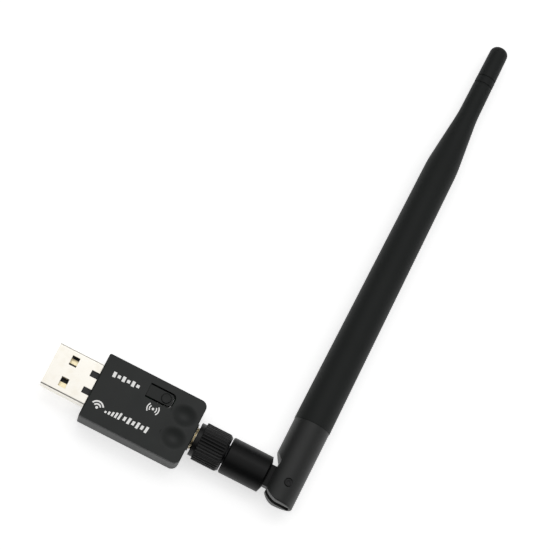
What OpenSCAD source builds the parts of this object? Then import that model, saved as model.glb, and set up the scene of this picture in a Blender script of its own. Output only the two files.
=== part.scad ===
// Wireless network adapter: a short case with a USB plug at one end and a
// screwed-on swivel antenna at the other.
// Origin: middle of the plug where it leaves the front face of the case.
// The plug points to -X, the antenna connector to +X, the button faces +Z.
// The antenna is drawn folded square to the case, along +Y.

/* [USB plug] */
// Width of the plug shell
plug_w = 12; // [11:0.1:14.4]
// Thickness of the plug shell
plug_t = 4.5; // [4.2:0.1:5.4]
// Length of shell in front of the case
plug_out = 12.6; // [10.5:0.1:18]
// Length of shell inside the case
plug_in = 3.4; // [2.8:0.1:4.2]
// Sheet thickness of the shell
sheet_t = 0.3; // [0.2:0.05:0.4]
// Outer corner radius of the shell
shell_r = 0.55; // [0.4:0.05:0.8]
// Length of the windows in the shell
window_l = 2.1; // [1.6:0.1:2.6]
// Width of the windows in the shell
window_w = 2.7; // [2.2:0.1:3]
// Distance of the windows' middle from the mouth
window_x = 5.3; // [4.5:0.1:6]
// Distance of the windows' middle from the middle plane
window_y = 3.1; // [2.8:0.1:3.4]
// Length of the latch holes next to the case
latch_l = 2.3; // [1.6:0.1:2.6]
// Width of the latch holes
latch_w = 1.75; // [1.4:0.05:2]
// Distance of the latch holes from the middle plane
latch_y = 2.4; // [2:0.1:3]
// Thickness of the plastic tongue in the plug
tongue_block_t = 1.6; // [1.3:0.1:1.9]
// Width of the two inner contact strips
inner_strip_w = 1.0; // [0.8:0.1:1.2]
// Width of the two outer contact strips
outer_strip_w = 1.4; // [1:0.1:1.6]
// Distance of the inner strips from the middle plane
inner_strip_y = 1.0; // [0.9:0.1:1.2]
// Distance of the outer strips from the middle plane
outer_strip_y = 3.4; // [3.2:0.1:3.6]
// Thickness of a contact strip
contact_t = 0.2; // [0.15:0.05:0.3]

/* [Case] */
// Length of the case
case_l = 28.7; // [27:0.1:36]
// Width of the case
case_w = 18.3; // [17:0.1:24]
// Height of the top face above the middle of the plug
case_up = 3.5; // [3.3:0.1:4.3]
// Depth of the underside below the middle of the plug
case_down = 5.5; // [4.2:0.1:6.5]
// Wall thickness
case_wall = 1.2; // [1:0.05:1.45]
// Thickness of the cover where it shows at the sides
cover_edge = 0.6; // [0.4:0.05:0.7]
// Width and depth of the seam groove
seam_w = 0.4; // [0.15:0.05:0.5]
// Corner radius at the plug end
front_r = 0.4; // [0.3:0.1:1]
// Corner radius at the antenna end
rear_r = 1.9; // [1:0.1:2.2]
// Bevel along the top front edge
front_bevel = 0.4; // [0.2:0.05:0.5]
// Depth of the two hollows beside the antenna boss
scoop_depth = 0.8; // [0.5:0.05:0.9]
// Sideways distance of the hollows from the middle plane
scoop_y = 3.25; // [3:0.05:3.6]
// Middle of the hollows, measured from the rear face
scoop_back = 4.3; // [4.2:0.1:5]
// Length by which the round boss stands out of the rear face
boss_l = 0.3; // [0.1:0.05:0.6]
// Wall of the round boss
boss_wall = 0.55; // [0.4:0.05:0.6]
// Gap between pieces that fit into each other
fit_gap = 0.05; // [0.02:0.01:0.1]

/* [Button] */
// Distance of the button tongue's root from the front face
button_root = 13; // [11:0.1:14]
// Length of the tongue
button_l = 7.15; // [6:0.05:7.2]
// Width of the tongue
button_w = 3.25; // [2.8:0.05:3.9]
// Middle of the tongue, measured from the middle plane
button_y = 5.15; // [5:0.05:5.3]
// Width of the slot round the tongue
slot_w = 0.42; // [0.3:0.02:0.5]
// Corner radius of the tongue's free end
button_r = 0.9; // [0.5:0.05:1.3]
// Radius of the raised pad
pad_r = 1.2; // [0.9:0.05:1.35]
// Distance of the pad from the free end
pad_back = 1.9; // [1.6:0.05:2.1]
// Height of the raised pad
pad_h = 0.2; // [0.1:0.02:0.3]

/* [Circuit board] */
// Thickness of the board
pcb_t = 0.8; // [0.6:0.1:1]
// Side of the radio chip
chip_side = 6; // [4:0.5:7]
// Height of the radio chip
chip_h = 0.9; // [0.7:0.1:1.2]

/* [Antenna connector] */
// Height of the connector axis relative to the middle of the plug
axis_z = -0.5; // [-0.7:0.05:-0.3]
// Radius of the jack's thread
thread_r = 3.15; // [3:0.05:3.2]
// Length of thread that shows between the case and the nut
thread_show = 0.55; // [0.4:0.05:2]
// Radius of the jack's centre pin
jack_pin_r = 0.46; // [0.4:0.02:0.5]
// Radius of the insulators
insulator_r = 2.05; // [1.9:0.05:2.1]
// Outer radius of the nut
nut_r = 5.25; // [4.9:0.05:6.3]
// Number of grooves round the nut
knurl_count = 36; // [24:1:44]
// Radius of one groove
knurl_cut = 0.26; // [0.15:0.01:0.3]
// Length of the smooth collar in front of the grooves
collar_l = 1.3; // [0.5:0.1:1.6]
// Length of the grooved stretch
knurl_l = 6.8; // [6.5:0.05:9]
// Length of the rear bevel
nut_bevel_l = 0.75; // [0.5:0.05:1.5]
// Depth of the rear bevel
nut_bevel_d = 0.6; // [0.4:0.01:1]
// Outer radius of the metal insert in the nut
insert_r = 4; // [3.9:0.05:4.2]

/* [Swivel barrel] */
// Radius of the barrel
barrel_r = 5.05; // [4.9:0.05:5.2]
// Length of the barrel
barrel_l = 11.8; // [10.9:0.1:14]
// Length of the bevel at the barrel's hinge end
hinge_bevel_l = 0.5; // [0.3:0.05:1]
// Depth of the bevel at the barrel's hinge end
hinge_bevel_d = 1.35; // [0.3:0.05:1.4]
// Gap between the nut and the barrel
barrel_gap = 0.25; // [0.2:0.05:0.5]
// Distance from the barrel's end to the hinge pin
pin_reach = 5.75; // [5.7:0.05:7.8]
// Radius of the hinge pins
pin_r = 1; // [0.9:0.05:1.25]
// Thickness of the hinge tongue
hinge_t = 3.2; // [2.8:0.1:3.4]
// Half width of the hinge tongue
hinge_r = 3; // [2.3:0.05:3.05]

/* [Antenna] */
// Radius of the antenna base
base_r = 5; // [4.9:0.05:5.2]
// Sideways offset of the base's axis from the hinge pin
base_shift = 0.95; // [0.9:0.05:1]
// Distance from the pin to the end of the base
base_end = 5.55; // [5.2:0.05:5.6]
// Radius of the rounded edge at the end of the base
end_round = 0.45; // [0.3:0.05:1]
// Radius, about the pin, of the corner that swings past the barrel
end_corner_r = 5.6; // [5.2:0.05:6.2]
// Distance from the pin to the seam with the cover tube
seam_y = 17; // [15:0.1:25]
// Length of the cover tube
radome_l = 104.6; // [88:0.1:130]
// Radius of the cover tube at the seam
radome_r0 = 5.1; // [5.05:0.05:5.6]
// Radius where the tube's shoulder starts
radome_r1 = 4.4; // [4.2:0.05:5]
// Radius of the neck past the shoulder
neck_r = 2.7; // [2.6:0.05:3.2]
// Radius at the tube's far end
tube_end_r = 2.6; // [2.5:0.05:2.6]
// Length of the shoulder
shoulder_l = 20; // [16:0.5:24]
// Length of the neck from the shoulder to the tube's far end
neck_l = 7.4; // [6:0.1:9]
// Length of the tip cap beyond the tube
cap_l = 11.9; // [10:0.1:14.5]
// Radius of the round grooves at the cap
ring_groove = 0.2; // [0.1:0.02:0.25]
// Radius of the inner cable
coax_r = 0.6; // [0.5:0.05:0.65]

/* [Hidden] */
$fn = 64;

eps = 0.01;

// case heights
z_top = case_up;
z_bot = -case_down;
z_seam = z_top - cover_edge;
z_ceil = z_top - case_wall;
z_floor = z_bot + case_wall;
inner_w = case_w - 2*case_wall;
x_wall = case_l - case_wall;

// circuit board
pcb_top = axis_z - jack_pin_r;
pcb_bot = pcb_top - pcb_t;
pcb_w = inner_w - 0.6;
rail_w = 1;
flange_l = 1.7;
pcb_x0 = plug_in + 0.4;
pcb_x1 = x_wall - flange_l - fit_gap;

// plug shell's solder tabs and plug block
tab_l = 2;
tab_room = 0.1;
block_bot = -plug_t/2 + sheet_t;
block_top = block_bot + tongue_block_t;
block_w = plug_w - 2*sheet_t - 0.5;
block_inset = 0.4;
rear_block_x = -latch_l - 1;
rear_block_top = plug_t/2 - sheet_t - 0.05;
tail_l = 1.5;
// distance from the middle plane and width of the strips
strips = [[inner_strip_y, inner_strip_w], [outer_strip_y, outer_strip_w]];

// bed of the two hollows in the cover
x_scoop = case_l - scoop_back;
scoop_bed_l = 3.1;
scoop_bed_w = 2.9;
scoop_bed_t = 0.8;

// button and its switch
button_x1 = button_root + button_l;
pad_x = button_x1 - pad_back;
root_gap = 0.08;
switch_size = [3.9, 3];
switch_h = 1.5;
frame_t = 0.15;
plunger_r = 0.75;
plunger_up = 0.6;
plunger_flange = 0.12;
press_room = 0.35;
nub_gap = 0.06;
z_switch = pcb_top + switch_h;
z_plunger = z_switch + frame_t + plunger_up;

// connector stations along X
x_boss = case_l + boss_l;
x_nut = x_boss + thread_show;
x_knurl = x_nut + collar_l;
x_bevel = x_knurl + knurl_l;
x_nut_end = x_bevel + nut_bevel_l;
x_barrel = x_nut_end + barrel_gap;
x_barrel_end = x_barrel + barrel_l;
x_pin = x_barrel_end + pin_reach;
thread_in_nut = 5.8;
x_jack_end = x_nut + thread_in_nut;
bore_depth = 2;
x_ref = x_jack_end - bore_depth;
flange_r = thread_r + 0.15;
jack_neck_r = flange_r - 0.1;
jack_hole_r = jack_neck_r + fit_gap;
run_gap = 0.05;
nut_bore_r = thread_r + run_gap;
lead_in = 0.7;
lip_l = 0.6;
x_insert = x_nut + lead_in;
x_insert_end = x_nut_end - lip_l;
ring_t = 0.5;
ring_play = 0.1;
x_ring = x_insert_end - 1;
ferrule_r = 2.6;
ferrule_neck_r = ferrule_r - 0.3;
ledge_l = 0.45;
x_ledge = x_ring - ledge_l;
sleeve_r = insulator_r + 0.24;
keeper_r = ferrule_r + 1;
keeper_l = 0.9;
x_keeper = x_barrel + 1.9;
x_ferrule_end = x_keeper + 4.6;
x_coax = x_barrel + 1.5;
tail_r = coax_r + 0.45;
crimp_l = 2.4;
crimp_t = 0.35;
crimp_bore_r = tail_r + crimp_t + 0.2;
coax_hole_r = coax_r + 0.2;

// hinge
slot_t = hinge_t + 0.3;
slot_r = hinge_r + 0.2;
cable_gap_t = 2*coax_hole_r;
trim_x = 4.25;
trim_y = 4.75;
trim_end = 6.9;
corner_r = min(end_corner_r, pin_reach - 0.15);
pin_top = base_r - 0.15;
pin_ring_w = 0.2;
pin_ring_depth = 0.5;

// antenna stations along Y, from the pin
spigot_l = 5;
spigot_r = base_r - 1;
tube_wall = 1;
y_tube_end = seam_y + radome_l;
y_neck = y_tube_end - neck_l;
y_shoulder = y_neck - shoulder_l;
tube_in_r = radome_r1 - tube_wall + 0.15;
neck_in_r = neck_r - tube_wall;
y_sleeve = [seam_y + spigot_l + 4, seam_y + spigot_l + 28];
sleeve_in_r = 1.5;
sleeve_wall = 0.3;
radiator_r = 0.5;
cap_plug_l = 5;
// room between the radiator's end and the cap's plug
tip_room = 16.6;
spacer_l = 6;

// ---------- helpers ----------
module box(a, b) { translate(a) cube(b - a); }
module bar_x(r, x0, x1) { translate([x0, 0, axis_z]) rotate([0, 90, 0]) cylinder(r = r, h = x1 - x0); }
module bar_y(r, y0, y1) { translate([0, y0, 0]) rotate([-90, 0, 0]) cylinder(r = r, h = y1 - y0); }
module tube_x(r_out, r_in, x0, x1) {
  difference() {
    bar_x(r_out, x0, x1);
    bar_x(r_in, x0 - eps, x1 + eps);
  }
}
// a solid of revolution about the connector axis; points are [x, radius]
module lathe_x(points) {
  translate([0, 0, axis_z]) rotate([0, 90, 0])
    rotate_extrude() polygon([for (p = points) [p[1], p[0]]]);
}
// a solid of revolution about the antenna axis; points are [y, radius]
module lathe_y(points) {
  rotate([-90, 0, 0]) rotate_extrude() polygon([for (p = points) [p[1], p[0]]]);
}
// frame of the hinge pin, and of the antenna's own axis beside it
module at_pin() { translate([x_pin, 0, axis_z]) children(); }
module on_antenna_axis() { translate([x_pin - base_shift, 0, axis_z]) children(); }

// rectangle from x0 to x1 with its own corner radius at each end
module plate_outline(x0, x1, w, r0, r1) {
  translate([x0 + r0, -w/2]) square([x1 - x0 - r0 - r1, w]);
  translate([x0, -w/2 + r0]) square([r0 + eps, w - 2*r0]);
  translate([x1 - r1 - eps, -w/2 + r1]) square([r1 + eps, w - 2*r1]);
  for (s = [-1, 1]) {
    translate([x0 + r0, s*(w/2 - r0)]) circle(r0);
    translate([x1 - r1, s*(w/2 - r1)]) circle(r1);
  }
}
module case_outline(inset) {
  plate_outline(inset, case_l - inset, case_w - 2*inset,
                max(front_r - inset, 0.2), max(rear_r - inset, 0.3));
}
module slab(z0, z1) { translate([0, 0, z0]) linear_extrude(z1 - z0) children(); }

// cross-section of the plug: width along the first axis, thickness along the second
module plug_section(inset) {
  w = plug_w - 2*inset;
  t = plug_t - 2*inset;
  r = max(shell_r - inset, 0.15);
  square([w, t - 2*r], center = true);
  square([w - 2*r, t], center = true);
  for (sx = [-1, 1], sy = [-1, 1]) translate([sx*(w/2 - r), sy*(t/2 - r)]) circle(r);
}
module plug_bar(inset, x0, x1) {
  translate([x0, 0, 0]) rotate([90, 0, 90]) linear_extrude(x1 - x0) plug_section(inset);
}

// outline of the button tongue, grown by g on its three free sides
module button_outline(g, x0) {
  w = button_w + 2*g;
  r = button_r + g;
  x1 = button_x1 + g;
  translate([0, button_y]) {
    translate([x0, -w/2]) square([x1 - r - x0, w]);
    translate([x1 - r - eps, -w/2 + r]) square([r + eps, w - 2*r]);
    for (s = [-1, 1]) translate([x1 - r, s*(w/2 - r)]) circle(r);
  }
}

// two snap catches on each side wall
catch_x = [0.27*case_l, 0.62*case_l];
catch_l = 3;
catch_h = 0.7;
catch_out = 0.35;
z_catch = z_seam - 1.2;
skirt_t = 0.9;
skirt_z = z_seam - 1.9;

module catches(grow) {
  for (x = catch_x, s = [-1, 1])
    translate([x, s*(inner_w/2 - fit_gap), z_catch])
      cube([catch_l + 2*grow, 2*(catch_out + grow), catch_h + 2*grow], center = true);
}

// ---------- case ----------
module case_bottom() {
  color([0.20, 0.21, 0.22]) difference() {
    union() {
      difference() {
        slab(z_bot, z_seam) case_outline(0);
        slab(z_floor, z_seam + eps) case_outline(case_wall);
      }
      // rails that carry the board
      for (s = [-1, 1])
        box([pcb_x0 + 1, min(s*inner_w/2, s*(inner_w/2 - rail_w)), z_floor - eps],
            [x_wall - 2, max(s*inner_w/2, s*(inner_w/2 - rail_w)), pcb_bot]);
      // boss round the jack
      bar_x(jack_hole_r + boss_wall, case_l - eps, x_boss);
    }
    // groove under the cover
    difference() {
      slab(z_seam - seam_w, z_seam + eps) case_outline(-eps);
      slab(z_seam - 2*seam_w, z_seam + 2*eps) case_outline(seam_w);
    }
    plug_bar(-fit_gap, -1, case_wall + 1);
    bar_x(jack_hole_r, x_wall - 1, x_boss + 1);
    // pocket in the floor for the jack's flange
    bar_x(flange_r + fit_gap, x_wall - flange_l - 0.3, x_wall + fit_gap);
    catches(0.1);
  }
}

module case_top() {
  color([0.20, 0.21, 0.22]) difference() {
    union() {
      slab(z_seam, z_top) case_outline(0);
      difference() {
        slab(skirt_z, z_seam + eps) case_outline(case_wall + fit_gap);
        slab(skirt_z - 1, z_ceil) case_outline(case_wall + fit_gap + skirt_t);
      }
      // thick stretch under the two hollows
      box([x_scoop - scoop_bed_l, -scoop_y - scoop_bed_w, z_ceil - scoop_bed_t],
          [x_wall - 0.5, scoop_y + scoop_bed_w, z_seam]);
      catches(0);
    }
    // room for the plug shell and for the jack
    box([-1, -plug_w/2 - 2*fit_gap, skirt_z - 1], [plug_in + 1, plug_w/2 + 2*fit_gap, plug_t/2 + fit_gap]);
    bar_x(flange_r + 2*fit_gap, x_wall - 8, case_l - case_wall + eps);
    // slot round the button tongue
    slab(z_ceil - 3, z_top + 1) button_outline(slot_w, button_root);
    // hollows beside the antenna boss
    for (s = [-1, 1]) translate([x_scoop, s*scoop_y, z_top - scoop_depth]) scoop_wheel();
    // bevel along the front edge
    translate([0, 0, z_top]) rotate([0, 45, 0])
      cube([front_bevel*sqrt(2), case_w + 2, front_bevel*sqrt(2)], center = true);
  }
}
// a ring with a round rim, standing on edge; its lowest point is at the origin
scoop_wheel_r = 10;
scoop_rim_r = 4.2;
module scoop_wheel() {
  translate([0, 0, scoop_wheel_r]) rotate([90, 0, 0])
    rotate_extrude() translate([scoop_wheel_r - scoop_rim_r, 0]) circle(scoop_rim_r);
}

module pair_button() {
  groove_w = 0.15;
  dish_r = 6;
  nub_r = 0.6;
  color([0.21, 0.22, 0.23]) {
    difference() {
      union() {
        slab(z_ceil, z_top) button_outline(0, button_root + root_gap);
        translate([pad_x, button_y, z_top]) cylinder(r = pad_r, h = pad_h);
      }
      translate([pad_x, button_y, z_top - groove_w]) difference() {
        cylinder(r = pad_r + groove_w, h = 2*groove_w);
        translate([0, 0, -1]) cylinder(r = pad_r, h = 3);
      }
      translate([pad_x, button_y, z_top + pad_h + dish_r - 0.1]) sphere(dish_r, $fn = 96);
    }
    translate([pad_x, button_y, z_plunger + nub_gap])
      cylinder(r = nub_r, h = z_ceil - z_plunger - nub_gap + eps);
  }
}

// ---------- plug ----------
module usb_shell() {
  color([0.80, 0.79, 0.76]) {
    difference() {
      plug_bar(0, -plug_out, plug_in);
      plug_bar(sheet_t, -plug_out - 1, plug_in + 1);
      for (s = [-1, 1]) {
        translate([-plug_out + window_x, s*window_y, 0])
          cube([window_l, window_w, plug_t + 2], center = true);
        translate([-latch_l/2 + 0.1, s*latch_y, plug_t/2])
          cube([latch_l, latch_w, 4*sheet_t], center = true);
      }
    }
    // tabs soldered into the board
    for (s = [-1, 1]) translate([plug_in - eps, s*(plug_w/2 - sheet_t/2) - sheet_t/2, pcb_bot])
      cube([tab_l, sheet_t, 0.8*plug_t/2 - pcb_bot]);
  }
}

module usb_insulator() {
  nose = 0.5;
  channel_room = 0.05;
  color([0.07, 0.07, 0.07]) difference() {
    union() {
      box([-plug_out + block_inset, -block_w/2, block_bot], [plug_in - 0.2, block_w/2, block_top]);
      // rear part, which fills the shell under the latch holes
      box([rear_block_x, -block_w/2, block_bot], [plug_in - 0.2, block_w/2, rear_block_top]);
    }
    // bevel at the mouth
    translate([-plug_out + block_inset, 0, block_top]) rotate([0, 45, 0])
      cube([nose, block_w + 1, nose], center = true);
    // channels for the contact strips
    for (c = strips, s = [-1, 1])
      box([rear_block_x - 1, s*c[0] - c[1]/2 - channel_room, block_top - eps],
          [plug_in + 1, s*c[0] + c[1]/2 + channel_room, block_top + contact_t + channel_room]);
  }
}

module contact(y, w) {
  x0 = -plug_out + block_inset + 0.8;
  x1 = pcb_x0 + tail_l;
  box([x0, y - w/2, block_top], [pcb_x0, y + w/2, block_top + contact_t]);
  box([pcb_x0 - 0.4 + contact_t, y - w/2, pcb_top], [pcb_x0 + contact_t, y + w/2, block_top + contact_t]);
  box([pcb_x0, y - w/2, pcb_top], [x1, y + w/2, pcb_top + contact_t]);
}
module usb_contacts() {
  color([0.86, 0.70, 0.36]) for (c = strips, s = [-1, 1]) contact(s*c[0], c[1]);
}

// ---------- board ----------
module circuit_board() {
  tab_slot = sheet_t + tab_room;
  hole_r = 0.5;
  color([0.07, 0.24, 0.15]) difference() {
    box([pcb_x0, -pcb_w/2, pcb_bot], [pcb_x1, pcb_w/2, pcb_top]);
    for (s = [-1, 1]) translate([pcb_x0 - 1, s*(plug_w/2 - sheet_t/2) - tab_slot/2, pcb_bot - 1])
      cube([plug_in + tab_l + tab_room + 1 - pcb_x0, tab_slot, pcb_t + 2]);
    for (s = [-1, 1]) translate([case_l*0.3, s*pcb_w*0.42, pcb_bot - 1]) cylinder(r = hole_r, h = pcb_t + 2);
  }
}
chip_x = 8.2;
module radio_chip() {
  color([0.09, 0.09, 0.10])
    translate([chip_x, -chip_side/2 - 1.2, pcb_top]) cube([chip_side, chip_side, chip_h]);
}
module crystal_can() {
  color([0.75, 0.75, 0.73])
    translate([chip_x + chip_side + 0.8, -5.6, pcb_top]) cube([3.2, 2.5, 0.8]);
}
module power_inductor() {
  color([0.18, 0.18, 0.18]) translate([6.4, 4.2, pcb_top]) cube([2.5, 2, 1.1]);
}
module voltage_regulator() {
  body = [1.6, 2.9, 1.0];
  leg = [0.5, 0.4, 0.15];
  color([0.10, 0.10, 0.11]) translate([9.8, 3.6, pcb_top]) {
    translate([0, 0, 0.1]) cube(body);
    for (i = [0:2], s = [0, 1])
      translate([s == 0 ? eps - leg[0] : body[0] - eps, 0.35 + 0.9*i, 0]) cube(leg);
  }
}
module chip_capacitors() {
  size = [1.0, 0.5, 0.5];
  pitch_y = 1.0;
  color([0.60, 0.48, 0.36]) {
    for (i = [0:3]) translate([6.2, -6.4 + pitch_y*i, pcb_top]) cube(size);
    for (i = [0:3]) translate([chip_x + chip_side + 1.2, -2.4 + pitch_y*i, pcb_top]) cube(size);
    for (i = [0:2]) translate([pcb_x1 - 5.6, -6.6 + pitch_y*i, pcb_top]) cube(size);
  }
}

module switch_base() {
  color([0.12, 0.12, 0.13]) translate([pad_x, button_y, pcb_top]) difference() {
    translate([-switch_size[0]/2, -switch_size[1]/2, 0]) cube([switch_size[0], switch_size[1], switch_h]);
    translate([0, 0, switch_h - plunger_flange - press_room]) cylinder(r = plunger_r + 0.3, h = 2);
  }
}
module switch_frame() {
  color([0.78, 0.78, 0.76]) translate([pad_x, button_y, z_switch]) difference() {
    translate([-switch_size[0]/2, -switch_size[1]/2, 0]) cube([switch_size[0], switch_size[1], frame_t]);
    translate([0, 0, -1]) cylinder(r = plunger_r + run_gap, h = 2);
  }
}
module switch_plunger() {
  color([0.85, 0.84, 0.80]) translate([pad_x, button_y, 0]) {
    translate([0, 0, z_switch - plunger_flange - 0.03]) cylinder(r = plunger_r + 0.2, h = plunger_flange);
    translate([0, 0, z_switch - 0.1]) cylinder(r = plunger_r, h = z_plunger - z_switch + 0.1);
  }
}

// ---------- jack ----------
module antenna_jack() {
  leg_w = 1;
  leg_y = insulator_r + leg_w/2 + 0.05;
  leg_l = 4;
  leg_h = 1.2;
  x_flange = x_wall - flange_l;
  color([0.83, 0.68, 0.38]) {
    difference() {
      union() {
        bar_x(flange_r, x_flange, x_wall);
        bar_x(jack_neck_r, x_wall - eps, x_boss + 0.1);
        bar_x(thread_r, x_boss, x_jack_end);
      }
      bar_x(insulator_r, x_flange - 1, x_ref + eps);
      bar_x(sleeve_r + run_gap, x_ref, x_jack_end + 1);
    }
    for (s = [-1, 1]) {
      translate([x_flange - leg_l, s*leg_y - leg_w/2, pcb_top]) cube([leg_l + 0.3, leg_w, leg_h]);
      translate([x_flange - leg_l, s*leg_y - leg_w/2, pcb_bot - leg_h + 0.2]) cube([leg_l + 0.3, leg_w, leg_h - 0.2]);
    }
  }
}
module jack_insulator() {
  color([0.93, 0.93, 0.90]) tube_x(insulator_r, jack_pin_r, x_wall - flange_l, x_ref);
}
module jack_pin() {
  color([0.86, 0.70, 0.36]) bar_x(jack_pin_r, x_wall - flange_l - 3.2, x_ref + 0.8*bore_depth);
}

// ---------- nut ----------
module coupling_nut() {
  collar_r = nut_r - 0.65;
  color([0.10, 0.10, 0.11]) difference() {
    union() {
      lathe_x([[x_nut, 0], [x_nut, collar_r], [x_knurl + eps, collar_r], [x_knurl + eps, 0]]);
      intersection() {
        translate([x_knurl, 0, axis_z]) rotate([0, 90, 0]) linear_extrude(x_nut_end - x_knurl)
          difference() {
            circle(nut_r);
            for (i = [0:knurl_count - 1]) rotate(i*360/knurl_count) translate([nut_r + 0.08, 0]) circle(knurl_cut);
          }
        lathe_x([[x_knurl, 0], [x_knurl, nut_r], [x_bevel, nut_r],
                 [x_nut_end, nut_r - nut_bevel_d], [x_nut_end, 0]]);
      }
    }
    bar_x(nut_bore_r + 0.25, x_nut - 1, x_insert);
    bar_x(insert_r, x_insert - eps, x_insert_end);
    bar_x(ferrule_r + 0.2, x_insert_end - eps, x_nut_end + 1);
  }
}
module nut_insert() {
  color([0.80, 0.65, 0.36]) difference() {
    bar_x(insert_r, x_insert, x_insert_end);
    bar_x(nut_bore_r, x_insert - 1, x_ledge);
    bar_x(ferrule_r + run_gap, x_ledge - eps, x_insert_end + 1);
    bar_x(ferrule_r + 0.65, x_ring - ring_play, x_ring + ring_t + ring_play);
  }
}
module snap_ring() {
  color([0.70, 0.70, 0.70]) difference() {
    tube_x(ferrule_r + 0.6, ferrule_neck_r + run_gap, x_ring, x_ring + ring_t);
    box([x_ring - 1, -0.8, axis_z], [x_ring + 2, 0.8, axis_z + 5]);
  }
}

// ---------- connector core ----------
module plug_ferrule() {
  tip = x_ref + 0.06;
  color([0.83, 0.68, 0.38]) difference() {
    lathe_x([[tip, 0], [tip, sleeve_r], [x_jack_end + 0.3, sleeve_r],
             [x_jack_end + 0.3, thread_r - 0.15], [x_ledge - run_gap, thread_r - 0.15],
             [x_ledge - run_gap, ferrule_r], [x_ring - run_gap, ferrule_r],
             [x_ring - run_gap, ferrule_neck_r], [x_ring + ring_t + run_gap, ferrule_neck_r],
             [x_ring + ring_t + run_gap, ferrule_r], [x_keeper, ferrule_r],
             [x_keeper, keeper_r], [x_keeper + keeper_l, keeper_r],
             [x_keeper + keeper_l, ferrule_r], [x_ferrule_end, ferrule_r],
             [x_ferrule_end, tail_r], [x_ferrule_end + crimp_l, tail_r], [x_ferrule_end + crimp_l, 0]]);
    bar_x(insulator_r, x_ref - 1, x_coax);
    bar_x(coax_r + fit_gap, x_coax - eps, x_ferrule_end + crimp_l + 1);
  }
}
socket_r = 0.9;
socket_bore_r = jack_pin_r + 0.04;
module plug_insulator() {
  color([0.93, 0.93, 0.90]) tube_x(insulator_r, socket_r, x_ref + 0.1, x_coax);
}
module plug_socket() {
  color([0.86, 0.70, 0.36]) difference() {
    bar_x(socket_r, x_ref + 0.3, x_coax);
    bar_x(socket_bore_r, x_ref - 1, x_ref + bore_depth);
  }
}
module coax_crimp() {
  color([0.72, 0.72, 0.70])
    tube_x(tail_r + crimp_t, tail_r, x_ferrule_end + 0.1, x_ferrule_end + crimp_l);
}
module lead_coax() {
  color([0.12, 0.12, 0.12]) bar_x(coax_r, x_coax, x_pin - 0.8);
}

// ---------- swivel barrel ----------
module swivel_barrel() {
  edge = 0.3;
  bore = ferrule_r + run_gap;
  color([0.11, 0.11, 0.12]) difference() {
    union() {
      lathe_x([[x_barrel, 0], [x_barrel, barrel_r - edge], [x_barrel + edge, barrel_r],
               [x_barrel_end - hinge_bevel_l, barrel_r], [x_barrel_end, barrel_r - hinge_bevel_d], [x_barrel_end, 0]]);
      // hinge tongue, rooted in the barrel
      at_pin() {
        box([-pin_reach - 0.5, -hinge_r, -hinge_t/2], [0, hinge_r, hinge_t/2]);
        translate([0, 0, -hinge_t/2]) cylinder(r = hinge_r, h = hinge_t);
      }
    }
    bar_x(bore, x_barrel - 1, x_ferrule_end + 0.1);
    bar_x(keeper_r + run_gap, x_keeper - 0.1, x_keeper + keeper_l + 0.1);
    bar_x(crimp_bore_r, x_ferrule_end, x_ferrule_end + crimp_l + 0.4);
    bar_x(coax_hole_r, x_ferrule_end, x_pin - 1);
    at_pin() {
      translate([0, 0, -5]) cylinder(r = pin_r + run_gap, h = 10);
      box([-1.8, -hinge_r - 1, -cable_gap_t/2], [hinge_r + 1, hinge_r + 1, cable_gap_t/2]);
    }
  }
}

// ---------- antenna ----------
module antenna_base() {
  big = 30;
  color([0.12, 0.12, 0.13]) difference() {
    // bar with a rounded edge at its end, and the spigot that carries the cover tube
    on_antenna_axis() union() {
      bar_y(base_r, end_round - base_end, seam_y);
      bar_y(base_r - end_round, -base_end, 0);
      translate([0, end_round - base_end, 0]) rotate([-90, 0, 0])
        rotate_extrude() translate([base_r - end_round, 0]) circle(end_round);
      bar_y(spigot_r, seam_y - eps, seam_y + spigot_l);
    }
    at_pin() {
      // flat towards the barrel, with a slanted run-out
      slab(-big, big) polygon([[-big, -big], [-trim_x, -big], [-trim_x, trim_y],
                               [-base_r - base_shift - 0.05, trim_end], [-big, trim_end]]);
      // corner that swings past the barrel
      slab(-big, big) difference() {
        translate([-big, -big]) square(big);
        circle(corner_r);
      }
      // slot for the hinge tongue
      slab(-slot_t/2, slot_t/2) {
        translate([-big, -big]) square([big + slot_r, big]);
        translate([-big, -big]) square([big, big + slot_r]);
        circle(slot_r);
      }
      translate([0, 0, -big]) cylinder(r = pin_r, h = 2*big);
      // narrow ring round each pin head
      for (s = [0, 1]) mirror([0, 0, s])
        translate([0, 0, pin_top - pin_ring_depth]) cylinder(r = pin_r + pin_ring_w, h = big);
    }
    on_antenna_axis() bar_y(coax_hole_r, 0, seam_y + spigot_l + 1);
  }
}
module hinge_pins() {
  dimple_r = 1.6;
  color([0.09, 0.09, 0.10]) at_pin() for (s = [0, 1]) mirror([0, 0, s]) difference() {
    translate([0, 0, cable_gap_t/2]) cylinder(r = pin_r, h = pin_top - cable_gap_t/2);
    translate([0, 0, pin_top + dimple_r - 0.15]) sphere(dimple_r);
  }
}

// straight ramp from 0 to 1 with round ends that each take the share a of it
function ramp(t, a) = t < a ? t*t/(2*a*(1 - a))
                    : t < 1 - a ? (t - a/2)/(1 - a)
                    : 1 - (1 - t)*(1 - t)/(2*a*(1 - a));
shoulder_points = [for (i = [0:20]) let (t = i/20)
  [y_shoulder + t*shoulder_l, radome_r1 + (neck_r - radome_r1)*ramp(t, 0.2)]];

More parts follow.
